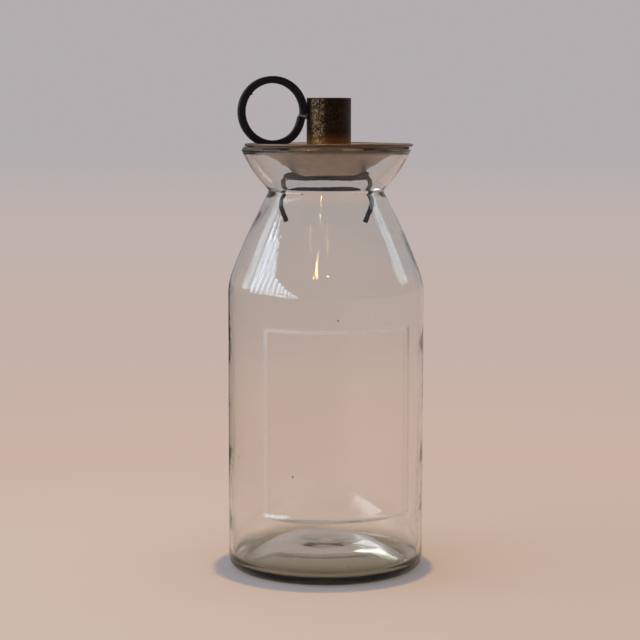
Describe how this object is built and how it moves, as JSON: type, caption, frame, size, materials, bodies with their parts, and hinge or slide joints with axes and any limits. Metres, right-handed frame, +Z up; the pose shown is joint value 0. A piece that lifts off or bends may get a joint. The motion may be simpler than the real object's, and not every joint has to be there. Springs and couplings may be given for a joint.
{
  "type": "bottle candle holder",
  "caption": "Clear glass milk bottle with a flared mouth, carrying a lift-off metal drip dish with a candle socket, a finger ring and a wire clip that hangs in the neck.",
  "frame": {"origin": "on the bottle's axis, on the surface that it stands on", "axes": "+Z up along the bottle's axis, the recessed label panel faces -Y, the finger ring points to -X"},
  "size_m": [0.1108, 0.1108, 0.2786],
  "materials": {
    "bottle_glass": "clear pressed glass with a faint grey-green tint, wavy and slightly seeded",
    "dish_metal": "thin antique copper brown finish over steel sheet, satin",
    "socket_metal": "dark brown with rubbed gold-brown speckle",
    "black_iron": "satin black",
    "clip_iron": "dark iron with rust",
    "weld_metal": "rough weld and braze metal, darkened"
  },
  "bodies": {
    "bottle": {"bottle": "bottle_glass"},
    "candle_head": {"drip_dish": "dish_metal", "candle_socket": "socket_metal", "socket_braze": "weld_metal", "finger_ring": "black_iron", "ring_weld": "weld_metal", "neck_clip": "clip_iron", "clip_weld_left": "clip_iron", "clip_weld_right": "clip_iron"}
  },
  "joints": [
    {"name": "head_lift", "type": "slide", "parent": "bottle", "child": "candle_head", "axis": [0, 0, 1], "range_m": [0, 0.12]}
  ]
}
